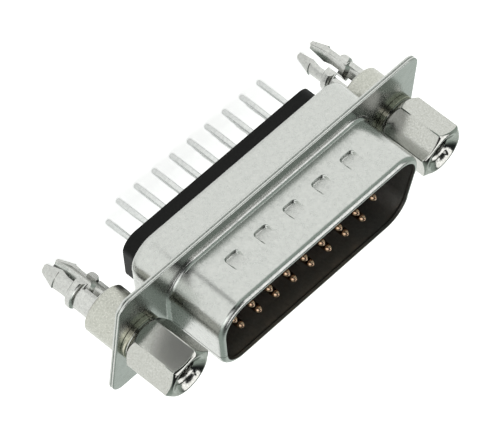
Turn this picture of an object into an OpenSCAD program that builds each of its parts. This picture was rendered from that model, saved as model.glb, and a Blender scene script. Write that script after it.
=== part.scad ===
// High-density D-shaped plug for a circuit board. Two drawn steel shells clamp a two-piece
// insulator that holds three rows of round pins. Hexagonal jack sockets screw through the
// flanges into round barrels, and each barrel carries a split peg that locks into the board.
//
// Millimetres. Z is the mating direction and z = 0 is the board's top face. X runs along
// the flange, and the wide side of the D faces -Y.

/* [Flange] */
// Length of both flanges along X
flange_w = 38.8; // [38.4:0.1:42]
// Height of both flanges along Y
flange_h = 12.9; // [12.4:0.1:14]
// Corner radius of the flanges
flange_corner_r = 1.4; // [0.6:0.1:2.5]
// Thickness of the sheet both shells are drawn from
sheet_t = 0.27; // [0.24:0.01:0.3]
// Height of the front flange's front face above the board
flange_up = 7; // [6.6:0.1:9]
// Distance from a flange's end to the jack socket's axis
socket_inset = 2.74; // [2.65:0.01:2.85]
// Diameter of the flange holes
flange_hole_d = 3.05; // [2.95:0.05:3.2]

/* [Nose] */
// Distance from a flange's end to the inside of the nose
nose_inset = 6.695; // [6.6:0.005:6.8]
// Inside height of the nose
nose_in_h = 8.52; // [8.2:0.02:8.6]
// Inside corner radius of the nose
nose_in_r = 2.68; // [2:0.02:3]
// Lean of the two short sides of every D
side_angle = 10; // [8:0.5:11]
// Height of the rim above the flange
nose_rise = 6.15; // [5.8:0.05:7]
// Radius of the bend between flange and nose
root_r = 0.4; // [0.3:0.05:0.5]
// Radius of the rounded lip
lip_r = 0.58; // [0.45:0.01:0.7]

/* [Dimples] */
// Distance from the inside of the nose to the middle of its last dimple
dimple_margin = 5.205; // [4.7:0.005:6]
// Width of one dimple
dimple_w = 1.6; // [1.2:0.1:2]
// Length of the ramp of one dimple along Z
dimple_len = 1.65; // [1:0.05:1.8]
// Depth of the step at the foot of one dimple
dimple_depth = 0.32; // [0.15:0.01:0.4]
// Height of the step above the flange
dimple_up = 1.95; // [1.5:0.05:2.5]
// Radius of the two corners of the step
dimple_r = 0.3; // [0.2:0.05:0.6]

/* [Cup] */
// Distance from a flange's end to the side of the cup
cup_inset = 5.7; // [5.65:0.01:5.85]
// Height of the cup
cup_h = 11.1; // [10.8:0.1:11.4]
// Corner radius of the cup
cup_r = 2.6; // [2.2:0.1:3]
// Depth of the cup behind the rear flange
cup_depth = 3.56; // [3.1:0.02:3.9]
// Radius of the bend between rear flange and cup
cup_root_r = 0.35; // [0.2:0.05:0.4]
// Radius of the rounded rear edge
cup_edge_r = 0.8; // [0.6:0.05:1]

/* [Insulators] */
// Distance from a flange's end to the side of the rear boss
boss_inset = 7.3; // [7.1:0.05:7.5]
// Height of the rear boss
boss_h = 6.5; // [6:0.1:7]
// Corner radius of the rear boss
boss_r = 1.5; // [1:0.1:2]
// Height of the boss's rear face above the board
boss_up = 0.9; // [0.5:0.05:1.5]
// Height of the insulator's front face above the flange
floor_up = 0.4; // [0.2:0.05:1.5]
// Thickness of the front insulator's base
front_base_t = 1.85; // [1.6:0.05:2]

/* [Pins] */
// Distance from the inside of the nose to the nearest pin's axis
pin_margin = 2.9725; // [2.9:0.0005:3.2]
// Distance between rows
row_pitch = 1.98; // [1.9:0.01:2.1]
// Diameter of a pin in the nose
pin_d = 0.76; // [0.7:0.02:0.9]
// Height of the pin tips above the flange
pin_reach = 5.1; // [4.5:0.1:5.6]
// Radius of the curve that runs to a pin's tip
pin_nose_r = 0.6; // [0.5:0.05:1.2]
// Diameter of the collar held between the insulators
collar_d = 1.3; // [1.1:0.05:1.5]
// Height of the collar
collar_h = 0.6; // [0.4:0.05:0.9]
// Diameter of a solder tail
tail_d = 0.58; // [0.5:0.02:0.66]
// Length of a solder tail below the board's top face
tail_reach = 3.1; // [2.6:0.1:4.5]

/* [Jack sockets] */
// Width of the hexagon across its flats
hex_af = 4.76; // [4.6:0.02:4.8]
// Height of the hexagon's front end above the flange
hex_up = 6; // [5.5:0.1:6.4]
// Diameter of the hexagon's round end faces
hex_face_d = 4.28; // [4.24:0.02:4.5]
// Turn of the left hexagon about its axis
hex_turn_left = 41.8; // [0:0.1:60]
// Turn of the right hexagon about its axis
hex_turn_right = 14.4; // [0:0.1:60]
// Diameter of the threaded hole at the thread's crests
tap_d = 2.28; // [2.16:0.02:2.38]
// Depth of the threaded hole
tap_depth = 4.6; // [4:0.1:4.8]
// Diameter of the countersink
sink_d = 4; // [3.6:0.05:4.1]
// Diameter of the stud behind the hexagon
stud_d = 2.75; // [2.6:0.01:2.8]
// Length of the stud behind the rear flange
stud_reach = 1.7; // [1.4:0.1:1.8]
// Diameter of the round collar behind the hexagon
seat_d = 4.2; // [4.1:0.05:4.5]
// Height of that collar
seat_h = 0.15; // [0.1:0.01:0.3]

/* [Lock washers] */
// Outside diameter of a lock washer
washer_od = 4.5; // [4.2:0.1:4.8]
// Inside diameter of a lock washer
washer_hole_d = 2.95; // [2.9:0.05:3.1]
// Thickness of a lock washer
washer_t = 0.45; // [0.35:0.05:0.7]
// Width of the washer's split
washer_split = 0.35; // [0.2:0.05:0.6]

/* [Barrels] */
// Diameter of a barrel
barrel_d = 4.86; // [4.6:0.02:4.9]
// Bevel of a barrel's rear edge
barrel_bevel = 0.15; // [0.05:0.05:0.3]
// Depth of a barrel's threaded hole
barrel_bore = 1.9; // [1.85:0.05:2]
// Depth of the socket that holds the board lock
lock_bore = 1.1; // [0.9:0.05:1.2]

/* [Board locks] */
// Wall thickness of the split peg
peg_t = 0.36; // [0.3:0.02:0.42]
// Diameter between barrel and ring
neck_d = 3.44; // [3.3:0.02:3.6]
// Diameter of the ring that rests on the board
ring_d = 3.84; // [3.8:0.02:4.1]
// Height of the ring
ring_h = 1.05; // [0.9:0.05:1.2]
// Radius of the ring's edges
ring_edge_r = 0.32; // [0.2:0.02:0.36]
// Width of the groove behind the ring
groove_w = 0.14; // [0.08:0.02:0.2]
// Diameter inside the board
waist_d = 2.96; // [2.8:0.02:3.1]
// Diameter over the barbs
barb_d = 3.18; // [3.14:0.02:3.4]
// Diameter of the tip
tip_d = 2.16; // [2:0.02:2.4]
// Depth of the barbs below the board's top face
barb_down = 1.65; // [1.6:0.05:2.6]
// Length of the cone from barb to tip
cone_len = 1.65; // [1.4:0.05:2]
// Width of the slot between the two legs
slot_w = 1.2; // [1:0.05:1.4]
// Height of the closed collar that shows behind the barrel
closed_h = 0.25; // [0.15:0.05:0.4]
// Width of a leg between barrel and ring
neck_w = 2.1; // [1.9:0.05:2.3]
// Width of a leg at the ring
ring_w = 2.7; // [2.5:0.02:3]
// Width of a leg inside the board
waist_w = 1.55; // [1.4:0.05:1.65]
// Width of a leg at the barbs
blade_w = 1.8; // [1.7:0.02:2]
// Width of a leg's tip
tip_w = 0.75; // [0.6:0.05:1.2]
// Turn of the left board lock about its axis
lock_turn_left = 6; // [-45:1:45]
// Turn of the right board lock about its axis
lock_turn_right = -26; // [-45:1:45]

/* [Fits] */
// Clearance on each side of a piece that goes into another
fit_gap = 0.03; // [0.02:0.01:0.05]

/* [Hidden] */
$fn = 64;

// Pins in the wide, middle and narrow row
row_counts = [9, 9, 8];
pin_total = 26;
// Dimples on the wide and narrow side of the nose
dimples_wide = 5;
dimples_narrow = 4;

// Heights
front_z = flange_up;
joint_z = front_z - sheet_t;
rear_z = joint_z - sheet_t;
cup_z = rear_z - cup_depth;
rim_z = front_z + nose_rise;
floor_z = front_z + floor_up;
split_z = joint_z - front_base_t;
hex_z = front_z + washer_t + seat_h;
hex_top_z = front_z + hex_up;

// Widths that follow the flange, over the wide side of each D
nose_in_w = flange_w - 2 * nose_inset;
cup_w = flange_w - 2 * cup_inset;
boss_w = flange_w - 2 * boss_inset;

// Outside of the nose and inside of the cup
nose_w = nose_in_w + 2 * sheet_t;
nose_h = nose_in_h + 2 * sheet_t;
nose_r = nose_in_r + sheet_t;
cup_in_w = cup_w - 2 * sheet_t;
cup_in_h = cup_h - 2 * sheet_t;
cup_in_r = cup_r - sheet_t;

// Rows of pins: neighbouring rows are shifted by half a pitch, so the widest two rows together
// take eight and a half pitches
pin_pitch = (nose_in_w - 2 * pin_margin) / (row_counts[0] - 0.5);
row_x = [-pin_pitch / 4, pin_pitch / 4, pin_pitch / 4];
row_y = [-row_pitch, 0, row_pitch];

// Small overlap that keeps a cut from ending exactly on a face
over = 0.02;
// Longer than any piece, for cutting prisms
reach = 60;
// How far flat plates reach over the flat start of a bend
lap = 0.2;
// How much thinner the leaning sides are on each face, and how far they run into the corners
hair = 0.02;
run_on = 0.25;

hex_r = hex_af / sqrt(3);
barrel_x = flange_w / 2 - socket_inset;
dimple_pitch = (nose_in_w - 2 * dimple_margin) / (dimples_wide - 1);

function two(i) = i < 10 ? str("0", i) : str(i);
function pin_name(i) = str("pin_", two(i));
function row_of(i) = i <= row_counts[0] ? 0 : i <= row_counts[0] + row_counts[1] ? 1 : 2;
function first_of(row) = row == 0 ? 1 : row == 1 ? row_counts[0] + 1 : row_counts[0] + row_counts[1] + 1;
function pin_x(i) = row_x[row_of(i)] + (i - first_of(row_of(i)) - (row_counts[row_of(i)] - 1) / 2) * pin_pitch;
function pin_pos(i) = [pin_x(i), row_y[row_of(i)], 0];

// Middles of a D's corner circles: half the distance on the wide and on the narrow side
function d_wide(w, r) = w / 2 - r;
function d_narrow(w, h, r) = w / 2 - r - (h - 2 * r) * tan(side_angle);

// D outline with its wide side toward -Y: w is the width over the wide corners
module d_outline(w, h, r) {
    xw = d_wide(w, r);
    xn = d_narrow(w, h, r);
    yc = h / 2 - r;
    dx = r * cos(side_angle);
    dy = r * sin(side_angle);
    polygon([
        [-xw, -h / 2], [xw, -h / 2], [xw + dx, dy - yc], [xn + dx, dy + yc],
        [xn, h / 2], [-xn, h / 2], [-xn - dx, dy + yc], [-xw - dx, dy - yc]
    ]);
    for (s = [-1, 1]) {
        translate([s * xw, -yc]) circle(r);
        translate([s * xn, yc]) circle(r);
    }
}

// Half of a straight side, from the middle to a corner's middle at x, y, and that corner
module half_side(x, y, angle) {
    translate([x, -y, 0]) rotate([0, 0, -90]) {
        rotate([90, 0, 0]) linear_extrude(x) children();
        rotate_extrude(angle = angle) children();
    }
}

// Carries a section round a D of width w, height h and corner radius r. The section is drawn
// at its distance from the corners' middles. The second child is the same section a hair
// thinner: it makes the leaning sides, which run on into the corners.
module d_ring(w, h, r) {
    xw = d_wide(w, r);
    xn = d_narrow(w, h, r);
    yc = h / 2 - r;
    side = (h - 2 * r) / cos(side_angle);
    for (m = [0, 1]) mirror([m, 0, 0]) {
        half_side(xw, yc, 90 + side_angle) children(0);
        mirror([0, 1, 0]) half_side(xn, yc, 90 - side_angle) children(0);
        translate([xn, yc, 0]) rotate([0, 0, side_angle]) translate([0, run_on, 0])
            rotate([90, 0, 0]) linear_extrude(side + 2 * run_on) children(1);
    }
}

// Quarter of a sheet bend between radii a and b round its middle c, on the sides sx and sy
module bend(c, a, b, sx, sy) {
    translate(c) intersection() {
        difference() {
            circle(b);
            circle(a);
        }
        translate([sx < 0 ? -reach : 0, sy < 0 ? -reach : 0]) square(reach);
    }
}

module flange_outline() {
    r = flange_corner_r;
    square([flange_w - 2 * r, flange_h], center = true);
    square([flange_w, flange_h - 2 * r], center = true);
    for (x = [-1, 1], y = [-1, 1]) translate([x * (flange_w / 2 - r), y * (flange_h / 2 - r)]) circle(r);
}

// Flat flange with its two holes and an opening that lies e outside a D
module flange_plate(z, w, h, r, e) {
    translate([0, 0, z]) linear_extrude(sheet_t) difference() {
        flange_outline();
        d_outline(w + 2 * e, h + 2 * e, r + e);
        for (s = [-1, 1]) translate([s * barrel_x, 0]) circle(d = flange_hole_d);
    }
}

// Section of the nose wall, g thinner on each face: flange, bend, wall and turned lip
module nose_section(g) {
    t = sheet_t - 2 * g;
    translate([nose_r + root_r, joint_z + g]) square([2 * lap, t]);
    bend([nose_r + root_r, front_z + root_r], root_r + g, root_r + sheet_t - g, -1, -1);
    translate([nose_in_r + g, front_z + root_r]) square([t, nose_rise - root_r - lip_r]);
    bend([nose_r - lip_r, rim_z - lip_r], lip_r - sheet_t + g, lip_r - g, 1, 1);
}

// Side profile of a dimple's pocket: outward is +X, up is +Y
module pocket_profile() {
    polygon([[dimple_w, 0], [-dimple_depth, 0], [0, dimple_len], [dimple_w, dimple_len]]);
}

// Outline of a dimple seen square on, with its step rounded at both corners
module pocket_outline() {
    x = dimple_w / 2 - dimple_r;
    translate([-dimple_w / 2, dimple_r]) square([dimple_w, dimple_len]);
    translate([-x, 0]) square([2 * x, 2 * dimple_r]);
    for (s = [-1, 1]) translate([s * x, dimple_r]) circle(dimple_r);
}

// Side profile of the metal that a dimple pushes inward
module bump_profile() {
    polygon([
        [-sheet_t / 2, -sheet_t], [-sheet_t, -sheet_t], [-sheet_t - dimple_depth, 0],
        [-sheet_t, dimple_len], [-sheet_t / 2, dimple_len]
    ]);
}

// Places a piece at each dimple of the nose, with +X pointing outward and +Z to the rim
module at_dimples() {
    for (side = [-1, 1]) {
        count = side < 0 ? dimples_wide : dimples_narrow;
        for (i = [0:count - 1])
            translate([(i - (count - 1) / 2) * dimple_pitch, side * nose_h / 2, front_z + dimple_up])
                rotate([0, 0, side * 90]) children();
    }
}

module front_shell() {
    color([0.78, 0.79, 0.77]) difference() {
        union() {
            flange_plate(joint_z, nose_w, nose_h, nose_r, root_r + lap);
            d_ring(nose_w, nose_h, nose_r) {
                nose_section(0);
                nose_section(hair);
            }
            at_dimples() rotate([90, 0, 0]) linear_extrude(dimple_w + sheet_t, center = true) bump_profile();
        }
        at_dimples() intersection() {
            rotate([90, 0, 0]) linear_extrude(2 * dimple_w, center = true) pocket_profile();
            rotate([90, 0, 90]) linear_extrude(2 * dimple_w, center = true) pocket_outline();
        }
    }
}

// Section of the cup wall, g thinner on each face: flange, bend, wall, rear edge and bottom
module cup_section(g) {
    t = sheet_t - 2 * g;
    bottom_r = cup_r - cup_edge_r;
    translate([cup_r + cup_root_r, rear_z + g]) square([2 * lap, t]);
    bend([cup_r + cup_root_r, rear_z - cup_root_r], cup_root_r + g, cup_root_r + sheet_t - g, -1, 1);
    translate([cup_in_r + g, cup_z + cup_edge_r]) square([t, cup_depth - cup_root_r - cup_edge_r]);
    bend([bottom_r, cup_z + cup_edge_r], cup_edge_r - sheet_t + g, cup_edge_r - g, 1, -1);
    translate([bottom_r - 2 * lap, cup_z + g]) square([2 * lap, t]);
}

module rear_shell() {
    inset = cup_edge_r + lap;
    color([0.78, 0.79, 0.77]) {
        flange_plate(rear_z, cup_w, cup_h, cup_r, cup_root_r + lap);
        d_ring(cup_w, cup_h, cup_r) {
            cup_section(0);
            cup_section(hair);
        }
        translate([0, 0, cup_z]) linear_extrude(sheet_t) difference() {
            d_outline(cup_w - 2 * inset, cup_h - 2 * inset, cup_r - inset);
            d_outline(boss_w + 2 * fit_gap, boss_h + 2 * fit_gap, boss_r + fit_gap);
        }
    }
}

// Places a piece at every pin
module at_pins() {
    for (i = [1:pin_total]) translate(pin_pos(i)) children();
}

module front_insulator() {
    color([0.05, 0.05, 0.055]) difference() {
        union() {
            translate([0, 0, split_z]) linear_extrude(front_base_t)
                d_outline(cup_in_w - 2 * fit_gap, cup_in_h - 2 * fit_gap, cup_in_r - fit_gap);
            translate([0, 0, split_z]) linear_extrude(floor_z - split_z)
                d_outline(nose_in_w - 2 * fit_gap, nose_in_h - 2 * fit_gap, nose_in_r - fit_gap);
        }
        at_pins() {
            translate([0, 0, split_z - over]) cylinder(d = pin_d + 2 * fit_gap, h = floor_z - split_z + 2 * over);
            translate([0, 0, split_z - over]) cylinder(d = collar_d + 2 * fit_gap, h = collar_h + fit_gap + over);
        }
    }
}

module rear_insulator() {
    base_z = cup_z + sheet_t;
    color([0.05, 0.05, 0.055]) difference() {
        union() {
            translate([0, 0, base_z]) linear_extrude(split_z - base_z)
                d_outline(
                    cup_w - 2 * cup_edge_r - 2 * fit_gap,
                    cup_h - 2 * cup_edge_r - 2 * fit_gap,
                    cup_r - cup_edge_r - fit_gap
                );
            translate([0, 0, boss_up]) linear_extrude(split_z - boss_up) d_outline(boss_w, boss_h, boss_r);
        }
        at_pins() translate([0, 0, boss_up - over])
            cylinder(d = tail_d + 2 * fit_gap, h = split_z - boss_up + 2 * over);
    }
}

// Half outline of a pin: solder tail with a rounded end, collar, and shank with a curved nose
module pin_half() {
    tip_z = front_z + pin_reach;
    flat_r = pin_d / 8;
    nose_len = sqrt(pow(pin_nose_r, 2) - pow(pin_nose_r - pin_d / 2 + flat_r, 2));
    translate([0, tail_d / 2 - tail_reach]) square([tail_d / 2, split_z + tail_reach - tail_d / 2]);
    intersection() {
        translate([0, tail_d / 2 - tail_reach]) circle(d = tail_d);
        translate([0, -tail_reach]) square(tail_d / 2);
    }
    translate([0, split_z]) square([collar_d / 2, collar_h]);
    translate([0, split_z]) square([pin_d / 2, tip_z - nose_len - split_z]);
    intersection() {
        translate([pin_d / 2 - pin_nose_r, tip_z - nose_len]) circle(pin_nose_r);
        translate([0, tip_z - nose_len]) square([pin_d / 2, nose_len]);
    }
}

module pin(i) {
    color([0.85, 0.68, 0.38]) translate(pin_pos(i)) rotate_extrude() pin_half();
}

// Half outline that rounds off both ends of a hexagon
module hex_half() {
    face_r = hex_face_d / 2;
    rise = (hex_r - face_r) * tan(30);
    polygon([
        [0, hex_z], [face_r, hex_z], [hex_r, hex_z + rise],
        [hex_r, hex_top_z - rise], [face_r, hex_top_z], [0, hex_top_z]
    ]);
}

// Half outline of the threaded hole with its wide countersink and drilled bottom
module tap_half() {
    sink_len = (sink_d - tap_d) / 2 * tan(30);
    bottom_z = hex_top_z - tap_depth;
    polygon([
        [0, bottom_z - tap_d / 6], [tap_d / 2, bottom_z], [tap_d / 2, hex_top_z - sink_len],
        [sink_d / 2, hex_top_z], [sink_d / 2, hex_top_z + over], [0, hex_top_z + over]
    ]);
}

module jack_socket(s, turn) {
    stud_end = rear_z - stud_reach;
    color([0.8, 0.78, 0.72]) translate([s * barrel_x, 0, 0]) difference() {
        union() {
            intersection() {
                rotate([0, 0, turn]) translate([0, 0, hex_z]) cylinder(r = hex_r, h = hex_top_z - hex_z, $fn = 6);
                rotate_extrude() hex_half();
            }
            translate([0, 0, hex_z - seat_h]) cylinder(d = seat_d, h = seat_h + over);
            translate([0, 0, stud_end]) cylinder(d = stud_d, h = hex_z - stud_end + over);
        }
        rotate_extrude() tap_half();
    }
}

module lock_washer(s) {
    color([0.45, 0.4, 0.25]) translate([s * barrel_x, 0, front_z]) difference() {
        cylinder(d = washer_od, h = washer_t);
        translate([0, 0, -over]) cylinder(d = washer_hole_d, h = washer_t + 2 * over);
        translate([0, washer_od / 2, washer_t / 2]) rotate([0, 30, 0])
            cube([washer_split, washer_od, 4 * washer_t], center = true);
    }
}

// Half outline of a barrel: threaded hole in front, socket for the board lock behind
module barrel_half() {
    r = barrel_d / 2;
    difference() {
        polygon([
            [0, cup_z], [r - barrel_bevel, cup_z], [r, cup_z + barrel_bevel],
            [r, rear_z], [0, rear_z]
        ]);
        translate([0, rear_z - barrel_bore]) square([stud_d / 2 + fit_gap, barrel_bore + over]);
        translate([0, cup_z - over]) square([neck_d / 2 + fit_gap, lock_bore + over]);
    }
}

module threaded_barrel(s) {
    color([0.72, 0.72, 0.7]) translate([s * barrel_x, 0, 0]) rotate_extrude() barrel_half();
}

// Points of a quarter circle of radius r round c, from angle a down to a - 90
function corner(c, r, a) = [for (i = [0:6]) c + r * [cos(a - 15 * i), sin(a - 15 * i)]];

// Half outline of a peg's wall: neck, groove, rounded ring, waist, barb and cone
module peg_half() {
    neck = neck_d / 2;
    waist = waist_d / 2;
    tip = tip_d / 2;
    top_z = cup_z + lock_bore;
    tip_z = -barb_down - cone_len;
    ring_top = ring_h - groove_w;
    edge_x = ring_d / 2 - ring_edge_r;
    step_z = ring_h / 2;
    polygon(concat(
        [[neck - peg_t, top_z], [neck, top_z], [neck, ring_h], [neck - groove_w, ring_h]],
        [[neck - groove_w, ring_top]],
        corner([edge_x, ring_top - ring_edge_r], ring_edge_r, 90),
        corner([edge_x, ring_edge_r], ring_edge_r, 0),
        [[waist, 0], [waist, -barb_down], [barb_d / 2, -barb_down], [tip, tip_z], [tip - peg_t, tip_z]],
        [[waist - peg_t, -barb_down], [waist - peg_t, step_z], [neck - peg_t, step_z + peg_t]]
    ));
}

// Outline of a leg seen square on, with the closed collar above it
module leg_face() {
    collar_z = cup_z - closed_h;
    half = [
        [neck_d, 2 * cup_z], [neck_d, collar_z], [neck_w / 2, collar_z], [neck_w / 2, ring_h],
        [ring_w / 2, ring_h], [ring_w / 2, over], [waist_w / 2, over], [waist_w / 2, -barb_down / 2],
        [blade_w / 2, -barb_down], [tip_w / 2, -barb_down - cone_len - over]
    ];
    polygon(concat(half, [for (i = [len(half) - 1:-1:0]) [-half[i][0], half[i][1]]]));
}

module board_lock(s, turn) {
    slot_end = cup_z - closed_h;
    color([0.76, 0.77, 0.75]) translate([s * barrel_x, 0, 0]) rotate([0, 0, turn]) difference() {
        intersection() {
            rotate_extrude() peg_half();
            rotate([90, 0, 90]) linear_extrude(2 * ring_d, center = true) leg_face();
        }
        translate([-slot_w / 2, -ring_d, slot_end - reach]) cube([slot_w, 2 * ring_d, reach]);
    }
}

front_shell();
rear_shell();
front_insulator();
rear_insulator();
jack_socket(-1, hex_turn_left);  // jack_socket_left
jack_socket(1, hex_turn_right);  // jack_socket_right
lock_washer(-1);  // lock_washer_left
lock_washer(1);  // lock_washer_right
threaded_barrel(-1);  // threaded_barrel_left
threaded_barrel(1);  // threaded_barrel_right
board_lock(-1, lock_turn_left);  // board_lock_left
board_lock(1, lock_turn_right);  // board_lock_right
for (i = [1:pin_total]) pin(i);
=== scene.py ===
import math

import bmesh
import bpy
import numpy as np
from mathutils import Matrix, Quaternion, Vector


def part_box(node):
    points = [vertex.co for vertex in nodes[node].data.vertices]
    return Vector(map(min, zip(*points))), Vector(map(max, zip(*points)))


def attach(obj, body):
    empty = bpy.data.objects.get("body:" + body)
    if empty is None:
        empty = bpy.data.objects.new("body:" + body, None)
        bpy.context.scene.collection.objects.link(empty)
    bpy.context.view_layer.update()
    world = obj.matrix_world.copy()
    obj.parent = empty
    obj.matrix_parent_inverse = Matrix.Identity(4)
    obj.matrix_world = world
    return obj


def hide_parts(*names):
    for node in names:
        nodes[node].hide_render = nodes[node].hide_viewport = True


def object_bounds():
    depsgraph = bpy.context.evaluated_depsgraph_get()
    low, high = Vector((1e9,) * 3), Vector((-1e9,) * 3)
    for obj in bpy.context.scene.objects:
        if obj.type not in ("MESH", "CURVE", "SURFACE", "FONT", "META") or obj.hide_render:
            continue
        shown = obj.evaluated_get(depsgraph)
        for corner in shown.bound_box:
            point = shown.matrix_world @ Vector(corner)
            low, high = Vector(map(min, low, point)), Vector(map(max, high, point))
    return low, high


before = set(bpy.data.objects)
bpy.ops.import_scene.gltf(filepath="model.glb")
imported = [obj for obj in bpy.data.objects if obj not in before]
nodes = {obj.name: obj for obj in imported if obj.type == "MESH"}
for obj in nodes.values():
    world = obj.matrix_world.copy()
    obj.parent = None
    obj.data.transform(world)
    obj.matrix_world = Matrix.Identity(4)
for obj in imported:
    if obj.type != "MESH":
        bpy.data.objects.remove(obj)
cad_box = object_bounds()
MM = 0.001
# Thickness of the shells and front face of the flange, in millimetres
SHEET = 0.27
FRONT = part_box("front_shell")[0].z / MM + SHEET


def linear(code):
    """A hex sRGB colour as linear RGBA."""
    c = np.array([int(code[i : i + 2], 16) for i in (1, 3, 5)]) / 255
    c = np.where(c <= 0.04045, c / 12.92, ((c + 0.055) / 1.055) ** 2.4)
    return (*c.tolist(), 1.0)


def add(tree, kind, sockets=None, **settings):
    """Adds a node, sets its properties and fills its inputs. A (node, output) pair is linked, and
    anything else is a value."""
    node = tree.nodes.new(kind)
    for name, value in settings.items():
        setattr(node, name, value)
    for name, value in (sockets or {}).items():
        if isinstance(value, tuple) and isinstance(value[0], bpy.types.Node):
            tree.links.new(value[0].outputs[value[1]], node.inputs[name])
        else:
            node.inputs[name].default_value = value
    return node


def new_material(name):
    """An empty node material with its output and its texture coordinates."""
    mat = bpy.data.materials.new(name)
    mat.use_nodes = True
    tree = mat.node_tree
    tree.nodes.clear()
    return mat, tree, add(tree, "ShaderNodeOutputMaterial"), add(tree, "ShaderNodeTexCoord")


def metal(name, light, dark, patch_mm, rough, grain_mm, grain_um, contrast=0.25):
    """A metal coat: patches of two close tones, a roughness that wanders between two values, and a
    fine grain in relief. patch_mm and grain_mm are the sizes of both, grain_um is the relief's height
    and contrast how far the patches' noise strays from its middle before a tone is pure."""
    mat, tree, out, place = new_material(name)
    patch = add(
        tree,
        "ShaderNodeTexNoise",
        {"Vector": (place, "Object"), "Scale": 1 / (patch_mm * MM), "Detail": 5.0, "Roughness": 0.65},
    )
    grain = add(
        tree,
        "ShaderNodeTexNoise",
        {"Vector": (place, "Object"), "Scale": 1 / (grain_mm * MM), "Detail": 3.0, "Roughness": 0.6},
    )
    tone = add(
        tree,
        "ShaderNodeMapRange",
        {"Value": (patch, 0), "From Min": 0.5 - contrast, "From Max": 0.5 + contrast},
    )
    colour = add(tree, "ShaderNodeMix", {0: (tone, 0), 6: linear(dark), 7: linear(light)}, data_type="RGBA")
    wander = add(
        tree,
        "ShaderNodeMapRange",
        {"Value": (patch, 0), "From Min": 0.3, "From Max": 0.7, "To Min": rough[1], "To Max": rough[0]},
    )
    relief = add(
        tree,
        "ShaderNodeBump",
        {"Strength": 1.0, "Distance": grain_um * MM * MM, "Height": (grain, 0)},
    )
    shader = add(
        tree,
        "ShaderNodeBsdfPrincipled",
        {"Base Color": (colour, 2), "Metallic": 1.0, "Roughness": (wander, 0), "Normal": (relief, 0)},
    )
    tree.links.new(shader.outputs[0], out.inputs["Surface"])
    return mat


# Hot-dipped tin on drawn sheet: satin light grey, a little cloudy, so that it mirrors the tent only softly
tin = metal("tin_dipped_on_drawn_steel", "#C1C1BE", "#AEB0AD", 0.4, (0.2, 0.3), 0.09, 2.6, 0.4)
# The same tin inside the nose, darker and rougher: the darker colour is painted shade for the nose's dark
# inside, and it mirrors the black floor and the pins only faintly
painted_shade_tin = metal("tin_with_painted_shade_inside_the_nose", "#B4B1AE", "#8C8986", 0.4, (0.32, 0.46), 0.12, 2.4)
# Bright nickel on a turned bar: mirrors the room in its flats, slightly grainy from the plating
nickel = metal("bright_nickel_on_turned_bar", "#C5C5C2", "#97978F", 0.14, (0.09, 0.17), 0.08, 2.4, 0.3)
# Passivated zinc on a spring washer: grey with a faint straw cast
zinc = metal("passivated_zinc_on_spring_wire", "#C8C6B6", "#8C897A", 0.3, (0.14, 0.28), 0.1, 1.6)
# Matte tin plated in a barrel: light grey, grainy, with a broad dull shine
matte_tin = metal("matte_tin_plated_in_the_barrel", "#C9C9C2", "#96968D", 0.15, (0.24, 0.38), 0.08, 3.5, 0.3)
# Tin on a rolled peg: light grey with soft rolling patches
peg_tin = metal("tin_on_rolled_spring_peg", "#C9C9C6", "#A9A9A6", 0.25, (0.16, 0.3), 0.1, 2.0, 0.3)


def contact_metal():
    """Gold flash on the mating end and tin on the tail, so that the tips glint like copper in the dark
    mouth. The change lies inside the insulator."""
    change_mm, patch_mm = 4.5, 0.25
    mat, tree, out, place = new_material("gold_flash_and_tin_on_turned_pins")
    height = add(tree, "ShaderNodeSeparateXYZ", {0: (place, "Object")})
    front = add(tree, "ShaderNodeMath", {0: (height, 2), 1: change_mm * MM}, operation="GREATER_THAN")
    noise = add(
        tree,
        "ShaderNodeTexNoise",
        {"Vector": (place, "Object"), "Scale": 1 / (patch_mm * MM), "Detail": 3.0},
    )
    gold, tail = (
        add(tree, "ShaderNodeMix", {0: (noise, 0), 6: linear(dark), 7: linear(light)}, data_type="RGBA")
        for dark, light in (("#9C7C64", "#D0B096"), ("#B4B6B5", "#DADBDA"))
    )
    colour = add(tree, "ShaderNodeMix", {0: (front, 0), 6: (tail, 2), 7: (gold, 2)}, data_type="RGBA")
    shader = add(
        tree,
        "ShaderNodeBsdfPrincipled",
        {"Base Color": (colour, 2), "Metallic": 1.0, "Roughness": 0.09},
    )
    tree.links.new(shader.outputs[0], out.inputs["Surface"])
    return mat


def moulded_black(name, dark, light):
    """Glass-filled black plastic: near black, with a fine moulded grain that breaks up its weak shine."""
    grain_mm, grain_um = 0.2, 4
    mat, tree, out, place = new_material(name)
    noise = add(
        tree,
        "ShaderNodeTexNoise",
        {"Vector": (place, "Object"), "Scale": 1 / (grain_mm * MM), "Detail": 4.0},
    )
    colour = add(tree, "ShaderNodeMix", {0: (noise, 0), 6: linear(dark), 7: linear(light)}, data_type="RGBA")
    relief = add(
        tree,
        "ShaderNodeBump",
        {"Strength": 1.0, "Distance": grain_um * MM * MM, "Height": (noise, 0)},
    )
    shader = add(
        tree,
        "ShaderNodeBsdfPrincipled",
        {"Base Color": (colour, 2), "Roughness": 0.55, "Specular IOR Level": 0.15, "Normal": (relief, 0)},
    )
    tree.links.new(shader.outputs[0], out.inputs["Surface"])
    return mat


contact = contact_metal()
# The boss behind the cup, near black
black = moulded_black("glass_filled_black_moulding", "#0B0B0B", "#171616")
# The floor of the mouth: a shade greyer than the boss
greyer_black = moulded_black("greyer_black_moulding", "#262423", "#423F3D")


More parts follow.
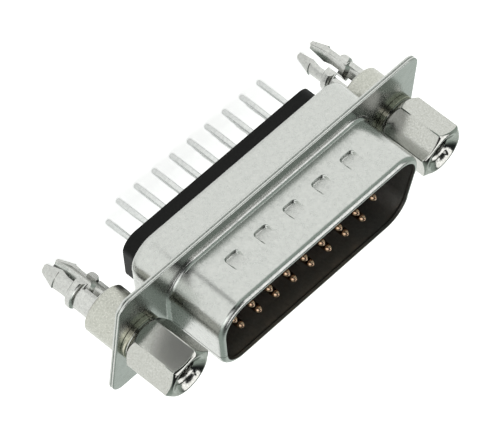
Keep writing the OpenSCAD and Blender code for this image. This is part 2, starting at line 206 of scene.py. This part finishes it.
def merged(node):
    """A CAD node's triangles with corners that share a place made one: points in millimetres, and
    triangles."""
    mesh = nodes[node].data
    points = np.empty(len(mesh.vertices) * 3, np.float32)
    mesh.vertices.foreach_get("co", points)
    corners = np.empty(len(mesh.loops), np.int32)
    mesh.loops.foreach_get("vertex_index", corners)
    places, where = np.unique(np.round(points.reshape(-1, 3) / MM, 4), axis=0, return_inverse=True)
    tris = where.ravel()[corners].reshape(-1, 3)
    whole = (tris[:, 0] != tris[:, 1]) & (tris[:, 1] != tris[:, 2]) & (tris[:, 2] != tris[:, 0])
    return places, tris[whole]


def new_piece(name, points, faces, node, materials, edge_mm, chosen=None, sharp=28):
    """A piece in place of a CAD node, smooth but for edges sharper than sharp degrees, which are rounded
    by edge_mm. chosen is the material number of each face."""
    coplanar = math.radians(0.3)
    mesh = bpy.data.meshes.new(name)
    mesh.from_pydata((np.asarray(points) * MM).tolist(), [], faces)
    for material in materials:
        mesh.materials.append(material)
    if chosen is not None:
        mesh.polygons.foreach_set("material_index", chosen.astype(np.int32))
    if edge_mm:
        bm = bmesh.new()
        bm.from_mesh(mesh)
        bmesh.ops.dissolve_limit(
            bm, angle_limit=coplanar, verts=bm.verts, edges=bm.edges, delimit={"MATERIAL"}
        )
        bm.to_mesh(mesh)
        bm.free()
    mesh.shade_smooth()
    mesh.set_sharp_from_angle(angle=math.radians(sharp))
    ob = bpy.data.objects.new(name, mesh)
    bpy.context.scene.collection.objects.link(ob)
    if edge_mm:
        bevel = ob.modifiers.new("edges", "BEVEL")
        bevel.width = edge_mm * MM
        bevel.segments = 3
        bevel.limit_method = "ANGLE"
        bevel.angle_limit = math.radians(sharp)
        bevel.use_clamp_overlap = True
        bevel.harden_normals = True
    else:
        flats = ob.modifiers.new("flats", "WEIGHTED_NORMAL")
        flats.weight = 100
        flats.keep_sharp = True
    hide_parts(node)
    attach(ob, "root")
    return ob


def rolled_rim(node, z0, corner, edge):
    """A shell whose flange has a rounded rim, as a grid of outline and profile: the two rings of the
    flange's outline, a rectangle with round corners, move in by edge, and between them runs a quarter
    arc, a straight and a quarter arc of radius edge. z0 is the flange's lower face. Gives points,
    triangles and the rim's quads."""
    near = 0.004
    points, tris = merged(node)
    low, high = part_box(node)
    core = np.array([(high.x - low.x) / 2, (high.y - low.y) / 2]) / MM - corner
    offset = np.abs(points[:, :2]) - core
    away = np.hypot(*np.maximum(offset, 0).T) + np.minimum(offset.max(1), 0) - corner
    from_middle = points[:, 2] - z0 - SHEET / 2
    rim = (np.abs(away) < near) & (np.abs(from_middle) < SHEET / 2 + near)
    turn = np.arctan2(points[:, 1], points[:, 0])
    below, above = (np.flatnonzero(rim & (side * from_middle > 0)) for side in (-1, 1))
    below, above = (ring[np.argsort(turn[ring])] for ring in (below, above))
    line = points[below, :2]
    out = np.sign(line) * np.maximum(np.abs(line) - core, 1e-9)
    out /= np.linalg.norm(out, axis=1, keepdims=True)
    bend = np.linspace(0, math.pi / 2, 5)
    inward = edge * (1 - np.sin(np.concatenate([bend, bend[::-1]])))
    rise = edge * (1 - np.cos(bend))
    height = np.concatenate([rise, SHEET - rise[::-1]]) + z0
    grid = np.empty((len(height), len(line), 3))
    grid[:, :, :2] = line - inward[:, None, None] * out
    grid[:, :, 2] = height[:, None]
    points[below, :2], points[above, :2] = grid[0, :, :2], grid[-1, :, :2]
    between = grid[1:-1].reshape(-1, 3)
    inner_rows = len(points) + np.arange(len(between)).reshape(-1, len(line))
    rows = np.concatenate([[below], inner_rows, [above]])
    ahead = np.roll(rows, -1, 1)
    quads = np.stack([rows[:-1], ahead[:-1], ahead[1:], rows[1:]], 2).reshape(-1, 4)
    across = np.ptp(points[tris][:, :, 2], 1) > SHEET / 2
    return np.concatenate([points, between]), tris[~(rim[tris].all(1) & across)], quads


def pressed_side(points, tris, side, count, half_h=4.53, up=(0.4, 5.57)):
    """One long face of the nose with its row of pressed dimples, as a grid of length and height: the
    face sinks by depth times a ramp that falls from one at the step to zero at the dimple's end, inside
    a rectangle with soft edges whose two corners at the step are round. side is the sign of Y, half_h
    the face's distance from the middle and up its lower and upper edge above the flange. Gives the
    triangles that stay, the grid's points and its quads."""
    pitch, width, length, depth, foot = 3.75, 1.6, 1.65, 0.32, FRONT + 1.95
    bend, soft, margin, end_margin, steps, near = 0.3, 0.1, 0.15, 0.1, 49, 0.002
    z0, z1 = FRONT + up[0], FRONT + up[1]
    out = side * points[:, 1]
    in_height = (points[:, 2] > z0 - near) & (points[:, 2] < z1 + near)
    on_face = (np.abs(out - half_h) < near) & in_height
    x0, x1 = points[on_face, 0].min(), points[on_face, 0].max()
    inside = (out > half_h - depth - 0.01) & (out < half_h + near) & in_height
    inside &= (points[:, 0] > x0 - near) & (points[:, 0] < x1 + near)
    corners = points[tris]
    facing = side * np.cross(corners[:, 1] - corners[:, 0], corners[:, 2] - corners[:, 0])[:, 1]
    old = inside[tris].all(1) & ((out[tris].max(1) > half_h - SHEET + 0.005) | (facing > 1e-7))
    centres = (np.arange(count) - (count - 1) / 2) * pitch
    fine = (centres[:, None] + np.linspace(-width / 2 - margin, width / 2 + margin, steps)).ravel()
    x = np.concatenate([[x0], fine, [x1]])
    z = np.concatenate([[z0], np.linspace(foot - margin, foot + length + end_margin, steps), [z1]])
    across = np.abs((x[:, None] - centres).T).min(0)
    beside, before = np.maximum(across - width / 2 + bend, 0), np.maximum(foot + bend - z, 0)
    past = np.hypot(beside[None], before[:, None])
    edge = np.clip((bend - past) / soft / 2 + 0.5, 0, 1)
    sink = depth * edge**2 * (3 - 2 * edge) * np.clip(1 - (z - foot) / length, 0, 1)[:, None]
    across_x, across_z = np.meshgrid(x, z)
    grid = np.stack([across_x, side * (half_h - sink), across_z], 2)
    row, col = np.meshgrid(np.arange(len(z) - 1), np.arange(len(x) - 1), indexing="ij")
    a = row * len(x) + col
    quads = np.stack([a, a + 1, a + len(x) + 1, a + len(x)][:: -side], 2).reshape(-1, 4)
    return tris[~old], grid.reshape(-1, 3), quads


# Outline corner and rounded edge of both flanges, in millimetres
CORNER, EDGE = 1.4, 0.1
points, tris, quads = rolled_rim("front_shell", FRONT - SHEET, CORNER, EDGE)
for side, count in ((-1, 5), (1, 4)):
    tris, grid, more = pressed_side(points, tris, side, count)
    quads = np.concatenate([quads, more + len(points)])
    points = np.concatenate([points, grid])
# Faces above the root that look to the nose's middle line take the darker tin, painted shade inside the nose
SPINE, ROOT, FACING = 8.5, 0.4, -0.35
corners = points[tris]
middle = corners.mean(1)
normal = np.cross(corners[:, 1] - corners[:, 0], corners[:, 2] - corners[:, 0])
normal /= np.linalg.norm(normal, axis=1, keepdims=True) + 1e-12
spine = np.clip(middle[:, 0], -SPINE, SPINE)
outward = np.stack([middle[:, 0] - spine, middle[:, 1]], 1)
outward /= np.linalg.norm(outward, axis=1, keepdims=True) + 1e-12
inner = (middle[:, 2] > FRONT + ROOT) & ((normal[:, :2] * outward).sum(1) < FACING)
inner = np.concatenate([inner, np.zeros(len(quads), bool)])
faces = tris.tolist() + quads.tolist()
new_piece("drawn_front_shell", points, faces, "front_shell", [tin, painted_shade_tin], 0, inner)
points, tris, quads = rolled_rim("rear_shell", FRONT - 2 * SHEET, CORNER, EDGE)
new_piece("drawn_rear_shell", points, tris.tolist() + quads.tolist(), "rear_shell", [tin], 0)


def jack_socket(x, flat_deg, end, seat, top, apothem=2.38):
    """A hexagon socket as one closed grid of angle and profile, from the drilled floor up the thread,
    over the front and down the outside to the stud's end. The hexagon's radius is apothem over the
    cosine of the angle from the flat, with a small arc at each corner. Both ends are cut by a cone, so
    that a flat ends in an arc. The thread's radius swings between crest and root with height over pitch
    less the turn, a saw with flat tops, and is never less than the countersink's. end, seat and top are
    the heights of the stud's end, the hexagon's back and its front."""
    crest, root, pitch, depth, start = 1.14, 1.43, 0.635, 4.6, math.radians(290)
    sink, face, back, soft = 2.0, 2.14, 2.14, 0.05
    stud, collar, collar_h, round_r = 1.375, 2.1, 0.15, 0.16
    rows_per_turn, steep, flat = 18, 1.6, 0.3
    centre = (apothem - round_r) / math.cos(math.pi / 6)
    reach = math.atan2(round_r / 2, centre + round_r * math.cos(math.pi / 6))
    on_corner = np.linspace(-reach, reach, 7)
    part = np.concatenate([on_corner, np.linspace(reach, math.pi / 3 - reach, 14)[1:-1]])
    from_corner = np.tile(part, 6)
    angle = from_corner + np.repeat(np.arange(6) * math.pi / 3, len(part)) + math.radians(flat_deg + 30)
    on_flat = apothem / np.cos(from_corner - math.pi / 6)
    inside = np.maximum(round_r**2 - (centre * np.sin(from_corner)) ** 2, 0)
    on_arc = centre * np.cos(from_corner) + np.sqrt(inside)
    hexagon = np.where(np.abs(from_corner) <= reach + 1e-9, on_arc, on_flat)
    slope = math.tan(math.pi / 6)
    front_z = top - (hexagon - face) * slope
    back_z = seat + hexagon - back
    cone_end = top - (sink - crest) * slope
    thread_z = np.linspace(top - depth, cone_end, int(depth / pitch * rows_per_turn))
    phase = ((thread_z[:, None] - cone_end) / pitch - (angle[None, :] - start) / (2 * math.pi)) % 1
    saw = np.clip(steep * (1 - np.abs(2 * phase - 1)) - flat, 0, 1)
    thread = crest + (root - crest) * saw
    thread = np.maximum(thread, sink + (thread_z[:, None] - top) / slope)
    one = np.ones_like(angle)
    rows = [
        (0 * one, (top - depth - crest / 3) * one),
        *zip(thread, thread_z[:, None] * one),
        ((sink - soft) * one, (top - soft * slope) * one),
        ((sink + soft) * one, top * one),
        ((face - soft / 2) * one, top * one),
        ((face + soft / 2) * one, (top - slope * soft / 2) * one),
        (hexagon - soft, front_z + soft * slope),
        (hexagon, front_z - soft),
        (hexagon, back_z + soft),
        (hexagon - soft, back_z - soft),
        (back * one, seat * one),
        (collar * one, seat * one),
        (collar * one, (seat - collar_h) * one),
        (stud * one, (seat - collar_h) * one),
        (stud * one, end * one),
        (0 * one, end * one),
    ]
    radius, height = np.stack([r for r, _ in rows]), np.stack([z for _, z in rows])
    points = np.stack([x + radius * np.cos(angle), radius * np.sin(angle), height], 2).reshape(-1, 3)
    around = len(angle)
    row, col = np.meshgrid(np.arange(len(rows) - 1), np.arange(around), indexing="ij")
    a, b = row * around + col, row * around + (col + 1) % around
    return points, np.stack([a, a + around, b + around, b], 2).reshape(-1, 4)


# Height of the hexagon's back above the flange, in millimetres
SEAT = 0.6
for side, flat_deg in (("left", 71.8), ("right", 44.4)):
    node = "jack_socket_" + side
    low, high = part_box(node)
    points, quads = jack_socket((low.x + high.x) / 2 / MM, flat_deg, low.z / MM, FRONT + SEAT, high.z / MM)
    new_piece("turned_jack_socket_" + side, points, quads.tolist(), node, [nickel], 0, sharp=40)
    for made, kind, material, edge in (
        ("sprung_", "lock_washer_", zinc, 0.06),
        ("turned_", "threaded_barrel_", matte_tin, 0.06),
        ("slotted_", "board_lock_", peg_tin, 0.04),
    ):
        node = kind + side
        points, tris = merged(node)
        new_piece(made + node, points, tris.tolist(), node, [material], edge)

# The contacts and the insulators keep their solids
dressed = {name: contact for name in nodes if name.startswith("pin_")}
dressed |= {"front_insulator": greyer_black, "rear_insulator": black}
for name, material in dressed.items():
    nodes[name].data.materials.clear()
    nodes[name].data.materials.append(material)


# Camera: right, down and forward of the photograph in the part's frame, its shift from the axis and its
# distance in millimetres, and the photograph's scale in pixels for each millimetre at that distance
right = Vector((-0.6639125, -0.07493182, 0.74404665))
down = Vector((0.57222286, 0.5896501, 0.56997698))
ahead = Vector((-0.48143659, 0.80417535, -0.34859837))
shift_right, shift_down, distance = 1.80804418, 0.49114862, 412.13
px_per_mm, image_w, aim = 11.5065, 500, Vector((0, 0, 7.4))
place_mm = -shift_right * right - shift_down * down - distance * ahead + aim
camera_data = bpy.data.cameras.new("camera")
camera_data.lens = px_per_mm * distance / image_w * camera_data.sensor_width
camera_data.clip_start, camera_data.clip_end = 0.01, 20
camera = bpy.data.objects.new("camera", camera_data)
turn = Matrix((right, -down, -ahead)).transposed().to_4x4()
camera.matrix_world = Matrix.Translation(place_mm * MM) @ turn
bpy.context.scene.collection.objects.link(camera)
bpy.context.scene.camera = camera


def softbox(name, to, size, power, turn=0, far=0.35, look=(0, 0, 0.005)):
    """An area lamp that stands in direction to, far metres from look, faces it and is turned about that
    line by degrees."""
    lamp = bpy.data.lights.new(name, "AREA")
    lamp.shape = "RECTANGLE"
    lamp.size, lamp.size_y = size
    lamp.energy = power
    ob = bpy.data.objects.new(name, lamp)
    back = Vector(to).normalized()
    ob.location = Vector(look) + back * far
    spin = Quaternion((0, 0, 1), math.radians(turn))
    ob.rotation_euler = (back.to_track_quat("Z", "Y") @ spin).to_euler()
    bpy.context.scene.collection.objects.link(ob)


# Key, back and side light the metal broadly. The strip overhead gives the white lines on chamfers and
# countersinks, and the spot those at the steps of the dimples and along the lip
softbox("key", (0.9, -0.5, 0.8), (0.3, 0.3), 0.3)
softbox("back", (-0.5, 0.85, 0.4), (0.3, 0.3), 0.07)
softbox("side", (1.0, -0.2, 0.3), (0.3, 0.3), 0.2)
softbox("strip", (-0.22, 0.13, 0.97), (0.43, 0.13), 0.36, turn=-48.5)
softbox("spot", (-0.48, -0.32, 0.81), (0.12, 0.12), 0.09)

# A light tent with its top open to a dark ceiling: bright round the horizon, dark overhead and where
# the photographer stood
world = bpy.data.worlds.new("studio")
world.use_nodes = True
bpy.context.scene.world = world
tree = world.node_tree
tree.nodes.clear()
way = add(tree, "ShaderNodeTexCoord")
parts = add(tree, "ShaderNodeSeparateXYZ", {0: (way, "Generated")})
overhead = add(
    tree,
    "ShaderNodeMapRange",
    {"Value": (parts, 2), "From Min": 0.5, "From Max": 0.8},
    interpolation_type="SMOOTHSTEP",
)
sky = add(
    tree,
    "ShaderNodeMix",
    {0: (overhead, 0), 6: linear("#D4E3DA"), 7: linear("#2A2E2E")},
    data_type="RGBA",
)
toward = add(
    tree,
    "ShaderNodeVectorMath",
    {0: (way, "Generated"), 1: tuple(-ahead)},
    operation="DOT_PRODUCT",
)
behind = add(
    tree,
    "ShaderNodeMapRange",
    {"Value": (toward, "Value"), "From Min": 0.88, "From Max": 0.96},
    interpolation_type="SMOOTHSTEP",
)
sky = add(tree, "ShaderNodeMix", {0: (behind, 0), 6: (sky, 2), 7: linear("#1E1E1E")}, data_type="RGBA")
under = add(tree, "ShaderNodeMath", {0: (parts, 2), 1: 0.0}, operation="LESS_THAN")
sky = add(tree, "ShaderNodeMix", {0: (under, 0), 6: (sky, 2), 7: linear("#FFFFFF")}, data_type="RGBA")
glow = add(tree, "ShaderNodeBackground", {"Color": (sky, 2), "Strength": 0.7})
add(tree, "ShaderNodeOutputWorld", {"Surface": (glow, 0)})


def paper(name, code, level, outline, z):
    """A sheet of paper on the floor: its own colour under the lamps, plus a level of white where it is
    seen or mirrored, so that it is white there but for the object's soft shadow. From below it is clear.
    outline is in millimetres."""
    mat, tree, out, _ = new_material(name)
    path = add(tree, "ShaderNodeLightPath")
    seen = (path, "Is Camera Ray")
    for ray in ("Is Glossy Ray", "Is Transmission Ray"):
        seen = (add(tree, "ShaderNodeMath", {0: seen, 1: (path, ray)}, operation="MAXIMUM"), 0)
    white = add(tree, "ShaderNodeMath", {0: seen, 1: level}, operation="MULTIPLY")
    diffuse = add(tree, "ShaderNodeBsdfDiffuse", {"Color": linear(code)})
    glow = add(tree, "ShaderNodeEmission", {"Color": (1, 1, 1, 1), "Strength": (white, 0)})
    both = add(tree, "ShaderNodeAddShader", {0: (diffuse, 0), 1: (glow, 0)})
    under = add(tree, "ShaderNodeNewGeometry")
    clear = add(tree, "ShaderNodeBsdfTransparent")
    shader = add(tree, "ShaderNodeMixShader", {0: (under, "Backfacing"), 1: (both, 0), 2: (clear, 0)})
    tree.links.new(shader.outputs[0], out.inputs["Surface"])
    mesh = bpy.data.meshes.new(name)
    mesh.from_pydata([(x * MM, y * MM, z) for x, y in outline], [], [tuple(range(len(outline)))])
    mesh.materials.append(mat)
    ob = bpy.data.objects.new(name, mesh)
    bpy.context.scene.collection.objects.link(ob)
    return ob


HALF, LIFT = 2000, 0.1 * MM
FLOOR = cad_box[0][2] - LIFT
paper("pale_floor", "#F4F4F2", 0.78, ((-HALF, -HALF), (HALF, -HALF), (HALF, HALF), (-HALF, HALF)), FLOOR)
# A grey card on the floor beyond the picture, seen only as the dark flat of one socket and in the corner
# of the nose
outline = ((11, -75), (20.5, -75), (20.5, -38.4), (11, -29.2))
card = paper("grey_card", "#808080", 0.14, outline, FLOOR + LIFT)
card.visible_camera = card.visible_diffuse = card.visible_shadow = False

bpy.context.scene.view_settings.view_transform = "Standard"
